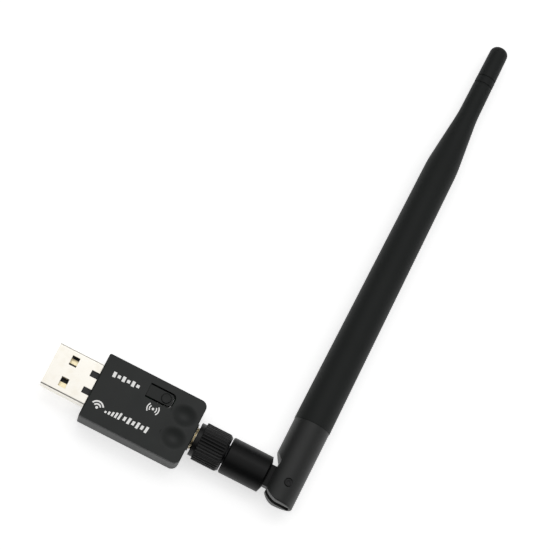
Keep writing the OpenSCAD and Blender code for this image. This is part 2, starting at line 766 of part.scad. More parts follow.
module radome() {
  color([0.15, 0.16, 0.16]) on_antenna_axis() difference() {
    lathe_y(concat([[seam_y, 0], [seam_y, radome_r0 - 0.1], [seam_y + 0.1, radome_r0]],
                   shoulder_points,
                   [[y_tube_end - 0.15, tube_end_r], [y_tube_end, tube_end_r - 0.15], [y_tube_end, 0]]));
    bar_y(spigot_r + 0.02, seam_y - 1, seam_y + spigot_l + 0.1);
    lathe_y([[seam_y + spigot_l, 0], [seam_y + spigot_l, tube_in_r], [y_shoulder - 2, tube_in_r],
             [y_shoulder + 0.5*shoulder_l, neck_in_r], [y_tube_end + 1, neck_in_r], [y_tube_end + 1, 0]]);
  }
}

module tip_cap() {
  cap_r = tube_end_r - 0.03;
  far_r = cap_r - 0.1;
  round_r = 2;
  band = 1.75;
  y0 = y_tube_end + 0.3;
  y_end = y_tube_end + cap_l;
  y_ring = y0 + band;
  color([0.13, 0.14, 0.14]) on_antenna_axis() {
    lathe_y(concat([[y_tube_end - cap_plug_l, 0], [y_tube_end - cap_plug_l, neck_in_r - 0.02],
                    [y_tube_end, neck_in_r - 0.02], [y_tube_end, cap_r - ring_groove],
                    [y0, cap_r - ring_groove], [y0, cap_r + 0.05],
                    [y_ring, cap_r + 0.05], [y_ring, cap_r - ring_groove],
                    [y_ring + 0.35, cap_r - ring_groove], [y_ring + 0.35, cap_r],
                    [y_end - round_r, far_r]],
                   [for (a = [10:10:80]) [y_end - round_r + round_r*sin(a), far_r - round_r*(1 - cos(a))]],
                   [[y_end, far_r - round_r], [y_end, 0]]));
  }
}

module whip_coax() {
  color([0.12, 0.12, 0.12]) on_antenna_axis() bar_y(coax_r, 1.2, y_sleeve[1]);
}
module dipole_sleeve() {
  color([0.80, 0.64, 0.34]) on_antenna_axis() difference() {
    bar_y(sleeve_in_r + sleeve_wall, y_sleeve[0], y_sleeve[1]);
    bar_y(sleeve_in_r, y_sleeve[0] - 1, y_sleeve[1] - 0.5);
    bar_y(coax_r, y_sleeve[1] - 1, y_sleeve[1] + 1);
  }
}
module radiator() {
  color([0.76, 0.48, 0.30]) on_antenna_axis() bar_y(radiator_r, y_sleeve[1], y_tube_end - cap_plug_l - tip_room);
}
module foam_spacer() {
  y0 = y_sleeve[0] + 9;
  color([0.86, 0.86, 0.84]) on_antenna_axis() difference() {
    bar_y(tube_in_r - fit_gap, y0, y0 + spacer_l);
    bar_y(sleeve_in_r + sleeve_wall, y0 - 1, y0 + spacer_l + 1);
  }
}

case_bottom();
case_top();
pair_button();
usb_shell();
usb_insulator();
usb_contacts();
circuit_board();
radio_chip();
crystal_can();
power_inductor();
voltage_regulator();
chip_capacitors();
switch_base();
switch_frame();
switch_plunger();
antenna_jack();
jack_insulator();
jack_pin();
coupling_nut();
nut_insert();
snap_ring();
plug_ferrule();
plug_insulator();
plug_socket();
swivel_barrel();
coax_crimp();
lead_coax();
antenna_base();
hinge_pins();
radome();
tip_cap();
whip_coax();
dipole_sleeve();
radiator();
foam_spacer();
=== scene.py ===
# %% [markdown]
# # A wireless adapter with a swivel antenna
# The object is a short plastic case with a USB plug at one end and a screwed-on antenna at the other.
# The CAD model is loaded first. It fixes every size and every joint, so the work here is only looks:
# softened edges, a real thread, a ribbed grip, printed marks, and a finish for each surface.
# Everything is in metres, in the same frame as the CAD: the plug points to -X, the antenna to +Y.

import math

import bmesh
import bpy
from mathutils import Matrix, Vector


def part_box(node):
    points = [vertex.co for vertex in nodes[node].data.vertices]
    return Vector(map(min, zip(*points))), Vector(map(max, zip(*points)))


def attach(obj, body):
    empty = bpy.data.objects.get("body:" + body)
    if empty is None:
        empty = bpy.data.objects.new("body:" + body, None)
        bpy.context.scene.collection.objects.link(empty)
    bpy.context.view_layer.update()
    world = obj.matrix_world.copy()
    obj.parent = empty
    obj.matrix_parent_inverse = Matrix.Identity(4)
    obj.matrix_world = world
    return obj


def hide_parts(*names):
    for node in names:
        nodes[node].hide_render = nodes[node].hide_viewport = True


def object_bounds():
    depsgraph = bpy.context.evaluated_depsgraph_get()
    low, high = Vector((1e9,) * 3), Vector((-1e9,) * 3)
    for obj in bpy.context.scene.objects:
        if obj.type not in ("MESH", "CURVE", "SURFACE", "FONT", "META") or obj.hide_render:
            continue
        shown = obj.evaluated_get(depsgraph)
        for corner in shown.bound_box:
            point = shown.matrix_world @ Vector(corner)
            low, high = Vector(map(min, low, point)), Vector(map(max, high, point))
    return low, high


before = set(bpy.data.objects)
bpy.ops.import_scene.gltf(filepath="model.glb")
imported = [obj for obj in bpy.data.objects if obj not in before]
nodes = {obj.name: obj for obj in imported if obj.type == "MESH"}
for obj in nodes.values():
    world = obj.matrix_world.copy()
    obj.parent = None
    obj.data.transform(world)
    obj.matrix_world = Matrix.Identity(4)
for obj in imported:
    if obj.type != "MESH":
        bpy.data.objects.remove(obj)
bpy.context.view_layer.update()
MM = 0.001
print("CAD nodes:", len(nodes))

# %% [markdown]
# ## The camera
# The camera stands far away behind a long lens, so that parallel edges stay nearly parallel.
# It looks down from the -Y side, about 14 degrees off straight above, and is rolled so that the plug
# points to the upper left and the antenna to the upper right. Two angles, a distance and the point
# aimed at say all of this, and a matrix made from them places the camera without any constraint.

# %% Place the camera
ELEVATION = math.radians(75.5)
ROLL = math.radians(27.1)
DISTANCE = 0.9
AIM = Vector((0.0287, 0.0487, 0.0))
FIELD = 0.1446                       # width seen at the aimed point

ahead = Vector((0, math.cos(ELEVATION), -math.sin(ELEVATION)))
level_up = Vector((0, math.sin(ELEVATION), math.cos(ELEVATION)))
level_right = Vector((1, 0, 0))
right = level_right * math.cos(ROLL) + level_up * math.sin(ROLL)
up = level_up * math.cos(ROLL) - level_right * math.sin(ROLL)

lens = bpy.data.cameras.new("camera")
lens.sensor_width = 36
lens.lens = 36 * DISTANCE / FIELD
lens.clip_start = 0.01
lens.clip_end = 10
camera = bpy.data.objects.new("camera", lens)
bpy.context.scene.collection.objects.link(camera)
place = Matrix((right, up, -ahead)).transposed().to_4x4()
place.translation = AIM - ahead * DISTANCE
camera.matrix_world = place
bpy.context.scene.camera = camera
print("lens:", round(lens.lens, 1), "mm")

# %% [markdown]
# ## Arithmetic on node sockets
# A material or a Geometry Nodes tree is mostly arithmetic, and arithmetic is easier to read as an
# expression than as a list of nodes. `Num` wraps one socket. Adding, multiplying or comparing two of
# them adds the Math node that does it. `Net` owns a tree and makes every other kind of node.


# %% Nodes as expressions
class Num:
    def __init__(self, net, socket):
        self.net, self.socket = net, socket

    def math(self, operation, *others):
        values = dict(enumerate((self, *others)))
        return self.net.node("ShaderNodeMath", {"operation": operation}, values)[0]

    def __add__(self, other):
        return self.math("ADD", other)

    def __radd__(self, other):
        return self.math("ADD", other)

    def __sub__(self, other):
        return self.math("SUBTRACT", other)

    def __rsub__(self, other):
        return self.net.math("SUBTRACT", other, self)

    def __mul__(self, other):
        return self.math("MULTIPLY", other)

    def __rmul__(self, other):
        return self.math("MULTIPLY", other)

    def __truediv__(self, other):
        return self.math("DIVIDE", other)

    def __neg__(self):
        return self.math("MULTIPLY", -1)

    def __pow__(self, power):
        return self.math("POWER", power)

    def __abs__(self):
        return self.math("ABSOLUTE")

    def __gt__(self, other):
        return self.math("GREATER_THAN", other)

    def __lt__(self, other):
        return self.math("LESS_THAN", other)


class Net:
    def __init__(self, tree):
        self.tree = tree

    def node(self, kind, settings=None, values=None):
        made = self.tree.nodes.new(kind)
        for key, value in (settings or {}).items():
            setattr(made, key, value)
        for key, value in (values or {}).items():
            if isinstance(value, Num):
                self.tree.links.new(value.socket, made.inputs[key])
            else:
                made.inputs[key].default_value = value
        return Outputs(self, made)

    def math(self, operation, *values):
        return self.node("ShaderNodeMath", {"operation": operation}, dict(enumerate(values)))[0]

    def smooth(self, value, low, high):
        """0 below low, 1 above high, with soft ends."""
        return self.node("ShaderNodeMapRange", {"interpolation_type": "SMOOTHSTEP"},
                         {"Value": value, "From Min": low, "From Max": high})["Result"]

    def mix(self, share, first, second):
        """A colour between two colours."""
        made = self.node("ShaderNodeMix", {"data_type": "RGBA"}, {"Factor": share, 6: first, 7: second})
        return made[2]


class Outputs:
    def __init__(self, net, made):
        self.net, self.made = net, made

    def __getitem__(self, key):
        return Num(self.net, self.made.outputs[key])


# %% [markdown]
# ## Finishes
# Nearly every surface is one of three things: moulded plastic, plated metal, or paint.
# Moulded plastic is never one flat colour. The mould is spark-eroded, which leaves a fine grain, and
# handling leaves slightly shinier patches. So one function makes any moulded plastic from a colour,
# a roughness and a grain size, with noise in the plastic's own coordinates, in millimetres.


# %% Helpers for materials
def new_finish(name):
    """An empty material: its net, its shader, and object coordinates in millimetres."""
    material = bpy.data.materials.new(name)
    material.use_nodes = True
    net = Net(material.node_tree)
    shader = material.node_tree.nodes["Principled BSDF"]
    coords = net.node("ShaderNodeTexCoord")["Object"]
    spot = net.node("ShaderNodeVectorMath", {"operation": "SCALE"}, {0: coords, "Scale": 1 / MM})[0]
    return material, net, shader, spot


def feed(net, shader, **values):
    """Links or sets the shader's sockets; Base_Color stands for Base Color."""
    for key, value in values.items():
        socket = shader.inputs[key.replace("_", " ")]
        if isinstance(value, Num):
            net.tree.links.new(value.socket, socket)
        else:
            socket.default_value = value


def noise(net, spot, size, detail=2.0, stretch=(1, 1, 1)):
    """Noise from 0 to 1 with spots of about that size in millimetres."""
    where = net.node("ShaderNodeMapping", {}, {"Vector": spot, "Scale": [s / size for s in stretch]})
    return net.node("ShaderNodeTexNoise", {}, {"Vector": where["Vector"], "Scale": 1.0,
                                               "Detail": detail, "Roughness": 0.55})[0]


def bump(net, height, depth, strength=1.0):
    """A normal from a height between 0 and 1 that stands for that depth in millimetres."""
    return net.node("ShaderNodeBump", {}, {"Height": height, "Distance": depth * MM,
                                           "Strength": strength})["Normal"]


def shade(colour, factor):
    return [min(1, c * factor) for c in colour] + [1]


def moulded(name, colour, roughness, grain=0.14, depth=0.006, cloud=0.12, cloud_size=4.0,
            specular=0.5, tint=(1.0, 1.0, 1.0)):
    """Moulded plastic: grain from the mould, faint clouds in the colour, handled patches."""
    material, net, shader, spot = new_finish(name)
    clouds = noise(net, spot, cloud_size, 3.0)
    grains = noise(net, spot, grain, 2.0)
    patches = noise(net, spot, cloud_size * 1.7, 4.0)
    warm = [c * t for c, t in zip(colour, tint)]
    base = net.mix(clouds, shade(colour, 1 - cloud), shade(warm, 1 + cloud))
    base = net.mix(grains * 0.35, base, shade(colour, 1.35))
    feed(net, shader, Base_Color=base,
         Roughness=roughness - 0.09 + patches * 0.12 + grains * 0.06,
         Normal=bump(net, grains, depth, 0.8))
    shader.inputs["Specular IOR Level"].default_value = specular
    return material


def plated(name, colour, roughness, brushed=(0.12, 1, 1), stain=(0.7, 0.6, 0.5), stain_share=0.25):
    """Plated metal: fine streaks along one axis and a faint tarnish."""
    material, net, shader, spot = new_finish(name)
    streaks = noise(net, spot, 0.16, 3.0, brushed)
    tarnish = noise(net, spot, 2.6, 4.0)
    stained = [c * s for c, s in zip(colour, stain)]
    share = net.smooth(tarnish, 0.45, 0.8) * stain_share
    base = net.mix(share, shade(colour, 1), shade(stained, 1))
    base = net.mix(streaks * 0.25, base, shade(colour, 0.8))
    feed(net, shader, Base_Color=base, Metallic=1.0,
         Roughness=roughness + streaks * 0.12 + share * 0.3,
         Normal=bump(net, streaks, 0.004, 0.6))
    return material


# %% [markdown]
# The case, the grip, the barrel and the antenna are all black plastic, yet they don't look the same.
# The case is matt and a little grey-green. The grip and barrel have a soft sheen. The
# antenna's cover is a rubbery elastomer that hardly shines, and its hinged base is smoother.

# %% Make the finishes
CHARCOAL = (0.0135, 0.0152, 0.0144)
case_finish = moulded("case_plastic", CHARCOAL, 0.52, cloud=0.22, tint=(0.94, 1.05, 1.0), specular=0.42)
button_finish = moulded("button_plastic", (0.0140, 0.0156, 0.0148), 0.52, cloud=0.10, specular=0.34)
grip_finish = moulded("grip_plastic", (0.0035, 0.0036, 0.0037), 0.38, grain=0.10, depth=0.003, specular=0.3)
barrel_finish = moulded("barrel_plastic", (0.0030, 0.0032, 0.0033), 0.40, grain=0.10, depth=0.003,
                        specular=0.2)
base_finish = moulded("base_plastic", (0.0160, 0.0172, 0.0166), 0.46, grain=0.12, depth=0.004, specular=0.4)
pin_finish = moulded("pin_plastic", (0.006, 0.006, 0.0065), 0.42, grain=0.08, depth=0.002, specular=0.3)
cover_finish = moulded("cover_elastomer", (0.0130, 0.0150, 0.0142), 0.62, grain=0.20, depth=0.008,
                       cloud=0.14, cloud_size=7.0, specular=0.25)
cap_finish = moulded("cap_elastomer", (0.0130, 0.0148, 0.0142), 0.60, grain=0.16, depth=0.006,
                     specular=0.25)

nickel = plated("nickel", (0.90, 0.87, 0.80), 0.24, stain=(0.92, 0.85, 0.70))
steel = plated("steel", (0.70, 0.70, 0.69), 0.34)
gold = plated("gold", (0.97, 0.86, 0.58), 0.22, brushed=(0.08, 1, 1), stain=(0.9, 0.7, 0.5))
brass = plated("brass", (0.95, 0.87, 0.68), 0.27, brushed=(1, 0.3, 0.3), stain=(0.8, 0.7, 0.5))
dark_nickel = plated("dark_nickel", (0.10, 0.10, 0.105), 0.40, stain=(0.8, 0.8, 0.8))
copper = plated("copper", (0.92, 0.55, 0.38), 0.30, brushed=(1, 0.2, 1))

insulator_black = moulded("insulator_black", (0.012, 0.012, 0.012), 0.5, depth=0.003)
insulator_white = moulded("insulator_white", (0.82, 0.82, 0.78), 0.45, depth=0.002, cloud=0.03)
chip_finish = moulded("chip_epoxy", (0.018, 0.018, 0.019), 0.6, grain=0.07)
ceramic = moulded("ceramic", (0.42, 0.28, 0.17), 0.5, grain=0.06, cloud_size=1.0)
ivory = moulded("ivory_plastic", (0.70, 0.67, 0.60), 0.45, cloud=0.04)
jacket = moulded("cable_jacket", (0.015, 0.015, 0.015), 0.5, grain=0.3, depth=0.01)
foam = moulded("foam", (0.72, 0.72, 0.69), 0.9, grain=0.35, depth=0.05, cloud=0.06)


# %% [markdown]
# The circuit board needs a pattern of its own: copper tracks show through the green mask as paler
# lines. One set of bands, bent by noise, is enough for something that only shows when the
# case is opened. The printed marks are paint: bright, a little rough, and slightly uneven in cover.
# The ink also glows faintly: its emission is a painted glow that makes the marks brighter than the lamps
# alone would.


# %% The board and the printing ink
def solder_mask(name):
    material, net, shader, spot = new_finish(name)
    where = net.node("ShaderNodeSeparateXYZ", {}, {0: spot})
    wander = noise(net, spot, 3.5) * 1.6
    tracks = net.smooth(((where["Y"] + wander) * 5.2).math("SINE"), 0.55, 0.75)
    base = net.mix(tracks, (0.012, 0.090, 0.040, 1), (0.030, 0.170, 0.075, 1))
    feed(net, shader, Base_Color=base, Roughness=0.26 + noise(net, spot, 0.5) * 0.12,
         Normal=bump(net, tracks, 0.02))
    return material


def ink(name, colour):
    material, net, shader, spot = new_finish(name)
    cover = noise(net, spot, 0.35, 3.0)
    base = net.mix(net.smooth(cover, 0.25, 0.5), shade(colour, 0.86), shade(colour, 1.0))
    # the emission below is a painted glow, which lights the marks though they are no lamp
    feed(net, shader, Base_Color=base, Roughness=0.5 + cover * 0.15, Normal=bump(net, cover, 0.004),
         Emission_Color=base, Emission_Strength=0.25)
    return material


board_green = solder_mask("solder_mask")
white_ink = ink("white_ink", (0.93, 0.93, 0.91))
print("finishes:", len(bpy.data.materials))

# %% [markdown]
# ## Softened edges
# Nothing that comes out of a mould has a knife edge. A real edge has a radius of a tenth of a
# millimetre or more, and it catches a thin line of light, which is most of what makes a small plastic
# thing look real. The CAD node must stay as it is, so a copy is cleaned, bevelled and made to stand
# for it. The copy's loose triangles are merged and its flat faces made whole before the bevel.


# %% Helpers for meshes
def finished(obj, body, material, slot, *replaced):
    """Puts the material on a finished piece, and makes it ride and stand for its CAD nodes."""
    if material is not None:
        obj.data.materials.clear()
        obj.data.materials.append(material)
    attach(obj, body)
    if replaced:
        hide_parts(*replaced)
    return obj


def new_piece(name, mesh):
    obj = bpy.data.objects.new(name, mesh)
    bpy.context.scene.collection.objects.link(obj)
    return obj


def applied(obj):
    """The object's mesh with its modifiers applied, in their place."""
    graph = bpy.context.evaluated_depsgraph_get()
    mesh = bpy.data.meshes.new_from_object(obj.evaluated_get(graph))
    obj.modifiers.clear()
    old = obj.data
    obj.data = mesh
    if old.users == 0 and isinstance(old, bpy.types.Mesh):
        bpy.data.meshes.remove(old)
    return mesh


def shade_by_angle(mesh, degrees):
    mesh.shade_smooth()
    mesh.set_sharp_from_angle(angle=math.radians(degrees))


def softened(node, width, body, material, slot, name, segments=3, limit=30, share=None, rework=None):
    """A copy of a CAD node with rounded edges, which stands for it.
    share(middle of an edge, in millimetres) gives the share of the width that this edge gets."""
    bm = bmesh.new()
    bm.from_mesh(nodes[node].data)
    bmesh.ops.remove_doubles(bm, verts=bm.verts, dist=0.002 * MM)
    bmesh.ops.dissolve_limit(bm, angle_limit=math.radians(0.6), verts=bm.verts, edges=bm.edges)
    if rework:
        rework(bm)
    weight = bm.edges.layers.float.new("bevel_weight_edge")
    for e in bm.edges:
        if e.is_manifold and e.calc_face_angle(0) > math.radians(limit):
            middle = (e.verts[0].co + e.verts[1].co) / 2 / MM
            e[weight] = share(middle) if share else 1.0
    mesh = bpy.data.meshes.new(name)
    bm.to_mesh(mesh)
    bm.free()
    piece = new_piece(name, mesh)
    edge = piece.modifiers.new("rounded edges", "BEVEL")
    edge.width = width * MM
    edge.segments = segments
    edge.limit_method = "WEIGHT"
    edge.use_clamp_overlap = True
    edge.miter_outer = "MITER_ARC"
    shade_by_angle(applied(piece), 28)
    flat = piece.modifiers.new("flat faces stay flat", "WEIGHTED_NORMAL")
    flat.keep_sharp = True
    mesh = applied(piece)
    print(name, "faces:", len(mesh.polygons))
    return finished(piece, body, material, slot, node)


# %% [markdown]
# ## The case and its button
# The case is two mouldings that snap together. The seam between them is a fine groove that already
# comes with the CAD model, so both halves only need their edges softened. The button is a tongue
# of the cover, cut free on three sides. Its edges are sharper, because a thin slot runs round it.

# %% Case
CASE_L, CASE_W = (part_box("case_top")[1][axis] / MM * k for axis, k in ((0, 1), (1, 2)))
TOP_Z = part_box("case_top")[1].z / MM
LOW_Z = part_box("case_bottom")[0].z / MM
BUTTON_ROOT_X = 13.04                # where the button joins the cover, and nothing is cut
CORNER = 2.2                         # how far a rounded corner of the case reaches


def on_outline(middle, reach=0.25):
    """Whether a point lies on the outline of the case, seen from above."""
    ends = min(abs(middle.x), abs(middle.x - CASE_L))
    sides = CASE_W / 2 - abs(middle.y)
    corner = middle.x > CASE_L - CORNER and abs(middle.y) > CASE_W / 2 - CORNER
    return min(ends, sides) < reach or corner


def cover_share(middle):
    if middle.z > TOP_Z - 0.01 and on_outline(middle):
        return 1.0
    if abs(middle.x - BUTTON_ROOT_X) < 0.1:
        return 0.0
    return 0.25


softened("case_bottom", 0.35, "adapter", case_finish, "case_plastic", "lower_case",
         share=lambda middle: 1.0 if middle.z < LOW_Z + 0.01 else 0.35)
softened("pair_button", 0.07, "button", button_finish, "case_plastic", "button_tongue",
         share=lambda middle: 0.0 if middle.x < BUTTON_ROOT_X + 0.08 else 1.0)

# %% [markdown]
# ## The plug
# The plug shell is sheet steel, folded into a box and plated with nickel. Its windows and latch
# holes are punched, so they have only a slight radius. The contact strips are stamped and gold plated.

# %% Plug
softened("usb_shell", 0.07, "adapter", nickel, "nickel_shell", "plug_shell")
softened("usb_insulator", 0.10, "adapter", insulator_black, "black_insulator", "plug_block")
softened("usb_contacts", 0.05, "adapter", gold, "gold_contact", "plug_contacts", segments=2)

# %% [markdown]
# ## Turned and ribbed pieces
# The grip, the threaded jack, the antenna's cover and its cap are all made the same way: a profile
# turned about an axis. Geometry Nodes does this with one tree. It takes a profile as a chain of
# vertices (distance along the axis, radius), lays out a grid with one row for each vertex, and bends
# the grid into a ring. A screw modifier could turn the profile too, but a tree with its own angle
# can also cut ribs or wind a thread, because every vertex knows how far round it is.


# %% Trees for turned pieces
def new_tree(name, inputs):
    """A Geometry Nodes tree with named inputs: the net and a lookup of its inputs."""
    tree = bpy.data.node_groups.new(name, "GeometryNodeTree")
    tree.interface.new_socket("Geometry", in_out="INPUT", socket_type="NodeSocketGeometry")
    tree.interface.new_socket("Geometry", in_out="OUTPUT", socket_type="NodeSocketGeometry")
    for label, kind in inputs.items():
        tree.interface.new_socket(label, in_out="INPUT", socket_type="NodeSocket" + kind)
    net = Net(tree)
    return net, net.node("NodeGroupInput")


def end_tree(net, geometry, material):
    """Realize Instances and Set Material, so that the export keeps everything."""
    real = net.node("GeometryNodeRealizeInstances", {}, {"Geometry": geometry})["Geometry"]
    painted = net.node("GeometryNodeSetMaterial", {}, {"Geometry": real, "Material": material})
    net.node("NodeGroupOutput", {}, {"Geometry": painted["Geometry"]})
    return net.tree


def run_tree(obj, tree, **inputs):
    """Adds the tree to the object as a modifier; From_Start stands for the input From Start."""
    modifier = obj.modifiers.new(tree.name, "NODES")
    modifier.node_group = tree
    for item in tree.interface.items_tree:
        key = item.name.replace(" ", "_")
        if item.in_out == "INPUT" and key in inputs:
            modifier[item.identifier] = inputs[key]
    return modifier


def turning_tree():
    net, given = new_tree("turned_profile", {"Profile": "Object", "Around": "Int", "Material": "Material"})
    profile = net.node("GeometryNodeObjectInfo", {}, {"Object": given["Profile"]})["Geometry"]
    count = net.node("GeometryNodeAttributeDomainSize", {}, {"Geometry": profile})["Point Count"]
    columns = given["Around"] + 1
    grid = net.node("GeometryNodeMeshGrid", {}, {"Vertices X": count, "Vertices Y": columns})["Mesh"]
    index = net.node("GeometryNodeInputIndex")[0]
    row = (index / columns + 0.0001).math("FLOOR")
    column = index - row * columns
    point = net.node("GeometryNodeSampleIndex", {"data_type": "FLOAT_VECTOR", "domain": "POINT"},
                     {"Geometry": profile, "Value": net.node("GeometryNodeInputPosition")[0], "Index": row})
    flat = net.node("ShaderNodeSeparateXYZ", {}, {0: point[0]})
    angle = column / given["Around"] * math.tau
    place = net.node("ShaderNodeCombineXYZ", {}, {0: flat["X"], 1: flat["Y"] * angle.math("COSINE"),
                                                  2: flat["Y"] * angle.math("SINE")})[0]
    bent = net.node("GeometryNodeSetPosition", {}, {"Geometry": grid, "Position": place})["Geometry"]
    closed = net.node("GeometryNodeMergeByDistance", {}, {"Geometry": bent, "Distance": 0.0005 * MM})
    return end_tree(net, closed["Geometry"], given["Material"])


# %% [markdown]
# Ribs and threads push vertices towards the axis and change nothing else. A rib groove has a floor
# at a fixed radius that depends on the angle, as if a cutter ran straight along the axis, so the
# grooves run out by themselves where the grip gets thinner. A thread's depth follows the angle
# and the distance along the axis together, one pitch for each turn.


# %% Trees for ribs and threads
def polar(net):
    """Distance along the axis, radius and angle in turns of each vertex."""
    where = net.node("ShaderNodeSeparateXYZ", {}, {0: net.node("GeometryNodeInputPosition")[0]})
    radius = (where["Y"] * where["Y"] + where["Z"] * where["Z"]).math("SQRT")
    turns = where["Z"].math("ARCTAN2", where["Y"]) / math.tau
    return where, radius, turns


def moved_to_radius(net, given, where, radius, wanted):
    share = wanted / radius
    place = net.node("ShaderNodeCombineXYZ", {}, {0: where["X"], 1: where["Y"] * share,
                                                  2: where["Z"] * share})[0]
    moved = net.node("GeometryNodeSetPosition", {}, {"Geometry": given["Geometry"], "Position": place})
    return end_tree(net, moved["Geometry"], given["Material"])


def rib_tree():
    net, given = new_tree("ribbed_grip", {"Ribs": "Int", "Depth": "Float", "Full Radius": "Float",
                                          "From Start": "Float", "To End": "Float",
                                          "Inner Limit": "Float", "Material": "Material"})
    where, radius, turns = polar(net)
    wave = (turns * given["Ribs"] * math.tau).math("COSINE") * 0.5 + 0.5
    floor = given["Full Radius"] - given["Depth"] * wave ** 1.6
    inside = (where["X"] > given["From Start"]) * (where["X"] < given["To End"])
    inside = inside * (radius > given["Inner Limit"])
    cut = (radius - floor).math("MAXIMUM", 0) * inside
    return moved_to_radius(net, given, where, radius, radius - cut)


def thread_tree():
    net, given = new_tree("screw_thread", {"Pitch": "Float", "Depth": "Float", "From Start": "Float",
                                           "To End": "Float", "Run Out": "Float",
                                           "Inner Limit": "Float", "Material": "Material"})
    where, radius, turns = polar(net)
    phase = (where["X"] / given["Pitch"] + turns).math("FRACT")
    valley = 1 - abs(phase - 0.5) * 2
    valley = net.smooth(valley, 0.12, 0.92)
    begin = net.smooth(where["X"], given["From Start"], given["From Start"] + given["Run Out"])
    finish = 1 - net.smooth(where["X"], given["To End"] - given["Run Out"], given["To End"])
    deep = given["Depth"] * valley * begin * finish * (radius > given["Inner Limit"])
    return moved_to_radius(net, given, where, radius, radius - deep)


turned_profile, ribbed_grip, screw_thread = turning_tree(), rib_tree(), thread_tree()

# %% [markdown]
# ## The cover and its two hollows
# At the antenna end the cover sinks into two soft hollows with a ridge between them. The CAD model
# cuts them with a ring, which leaves a crisp rim; the real ones fade out. So the copy of the cover
# loses a rectangle of its top, and a fine grid fills it. A tree lowers the grid by a smooth
# formula that is level at the rim, and triangles fill the narrow strip between grid and hole.


# %% Cover with soft hollows
def hollow_tree():
    net, given = new_tree("soft_hollows", {"Length": "Float", "Width": "Float", "Rows": "Int",
                                           "Depth": "Float", "Reach Along": "Float",
                                           "Reach Across": "Float", "Apart": "Float",
                                           "Material": "Material"})
    grid = net.node("GeometryNodeMeshGrid", {}, {"Size X": given["Length"], "Size Y": given["Width"],
                                                 "Vertices X": given["Rows"],
                                                 "Vertices Y": given["Rows"] * 2})["Mesh"]
    where = net.node("ShaderNodeSeparateXYZ", {}, {0: net.node("GeometryNodeInputPosition")[0]})
    along = where["X"] / given["Reach Along"]
    sunk = 0
    for side in (-0.5, 0.5):
        across = (where["Y"] - given["Apart"] * side) / given["Reach Across"]
        share = (1 - along * along - across * across).math("MAXIMUM", 0)
        sunk = share ** 2 + sunk
    place = net.node("ShaderNodeCombineXYZ", {}, {0: where["X"], 1: where["Y"],
                                                  2: -(sunk * given["Depth"])})[0]
    moved = net.node("GeometryNodeSetPosition", {}, {"Geometry": grid, "Position": place})["Geometry"]
    return end_tree(net, moved, given["Material"])


HOLLOW_X, HOLLOW_REACH, HOLLOW_ACROSS, HOLLOW_APART = 24.5, 3.75, 3.25, 6.5
HOLLOW_DEPTH, STRIP = 1.0, 0.06
hollow_half = (HOLLOW_REACH, HOLLOW_APART / 2 + HOLLOW_ACROSS)


def soft_hollows(bm):
    """Cuts a rectangle out of the cover's top and fills it with the lowered grid."""
    patch = new_piece("hollows", bpy.data.meshes.new("hollows"))
    run_tree(patch, hollow_tree(), Length=2 * hollow_half[0] * MM, Width=2 * hollow_half[1] * MM,
             Rows=48, Depth=HOLLOW_DEPTH * MM, Reach_Along=HOLLOW_REACH * MM,
             Reach_Across=HOLLOW_ACROSS * MM, Apart=HOLLOW_APART * MM, Material=case_finish)
    mesh = applied(patch)
    mesh.transform(Matrix.Translation((HOLLOW_X * MM, 0, TOP_Z * MM)))
    sides = [(0, s * (hollow_half[0] + STRIP)) for s in (-1, 1)]
    sides += [(1, s * (hollow_half[1] + STRIP)) for s in (-1, 1)]
    for axis, reach in sides:
        point = Vector((HOLLOW_X * MM, 0, TOP_Z * MM))
        point[axis] += reach * MM
        normal = Vector((axis == 0, axis == 1, 0))
        facing = [f for f in bm.faces if f.normal.z > 0.3 and f.calc_center_median().z > (TOP_Z - 1) * MM]
        around = {e for f in facing for e in f.edges} | {v for f in facing for v in f.verts}
        bmesh.ops.bisect_plane(bm, geom=facing + list(around), dist=1e-8, plane_co=point, plane_no=normal)
    gone = []
    for f in bm.faces:
        centre = f.calc_center_median() / MM
        if (f.normal.z > 0.3 and centre.z > TOP_Z - 1.0 and abs(centre.x - HOLLOW_X) < hollow_half[0] + STRIP
                and abs(centre.y) < hollow_half[1] + STRIP):
            gone.append(f)
    bmesh.ops.delete(bm, geom=gone, context="FACES")
    bm.from_mesh(mesh)
    rim = [e for e in bm.edges if e.is_boundary]
    filled = bmesh.ops.triangle_fill(bm, use_beauty=True, edges=rim, normal=(0, 0, 1))["geom"]
    print("rim edges:", len(rim), "strip faces:", sum(isinstance(g, bmesh.types.BMFace) for g in filled))
    bpy.data.objects.remove(patch)


softened("case_top", 0.35, "adapter", case_finish, "case_plastic", "case_cover",
         share=cover_share, rework=soft_hollows)


# %% [markdown]
# A profile is written as corners: distance along the axis, radius, and how much to round that
# corner, in millimetres. A short curve replaces each rounded corner. Where ribs or a thread will
# be cut, extra points go in between, because vertices can only move where there are some.


# %% Profiles
def rounded(corners, closed, steps=5):
    points = []
    for i, (along, radius, soft) in enumerate(corners):
        here = Vector((along, radius))
        if soft == 0 or (not closed and i in (0, len(corners) - 1)):
            points.append(here)
            continue
        before = Vector(corners[i - 1][:2]) - here
        after = Vector(corners[(i + 1) % len(corners)][:2]) - here
        reach_a = min(soft, before.length * 0.48)
        reach_b = min(soft, after.length * 0.48)
        start = here + before.normalized() * reach_a
        end = here + after.normalized() * reach_b
        for k in range(steps + 1):
            t = k / steps
            points.append(start * (1 - t) ** 2 + here * 2 * t * (1 - t) + end * t ** 2)
    if closed:
        points.append(points[0])
    return points


def denser(points, low, high, step):
    """More points on the stretches that lie between low and high along the axis."""
    result = [points[0]]
    for a, b in zip(points, points[1:]):
        inside = low - 0.001 <= min(a.x, b.x) and max(a.x, b.x) <= high + 0.001
        parts = max(1, math.ceil((b - a).length / step)) if inside else 1
        result += [a.lerp(b, k / parts) for k in range(1, parts + 1)]
    return result


